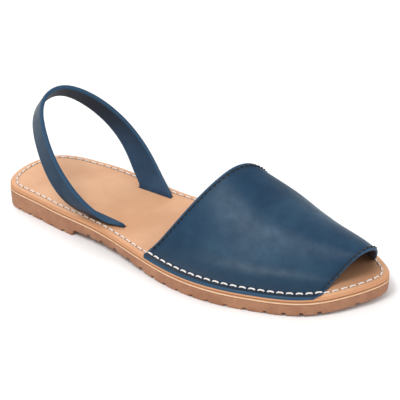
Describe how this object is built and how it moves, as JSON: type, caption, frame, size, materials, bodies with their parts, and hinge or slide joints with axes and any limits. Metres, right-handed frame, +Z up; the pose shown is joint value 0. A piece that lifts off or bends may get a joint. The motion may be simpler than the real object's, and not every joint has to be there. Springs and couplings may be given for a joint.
{
  "type": "sandal",
  "caption": "Slingback leather sandal for the right foot: a wide one-piece vamp open at the toe, a thin strap round the heel, and a flat layered sole.",
  "frame": {"origin": "on the ground, at the middle of the sandal's length and width", "axes": "+X to the toe, +Y to the wearer's left (the inner side of this right shoe), +Z up"},
  "size_m": [0.25, 0.0962, 0.0724],
  "materials": {
    "rubber": "matte",
    "leather_board": "matte",
    "tan_leather": "satin",
    "blue_leather": "satin"
  },
  "bodies": {
    "root": {"outsole": "rubber", "midsole": "leather_board", "insole": "tan_leather", "vamp": "blue_leather", "heel_strap": "blue_leather"}
  },
  "joints": []
}
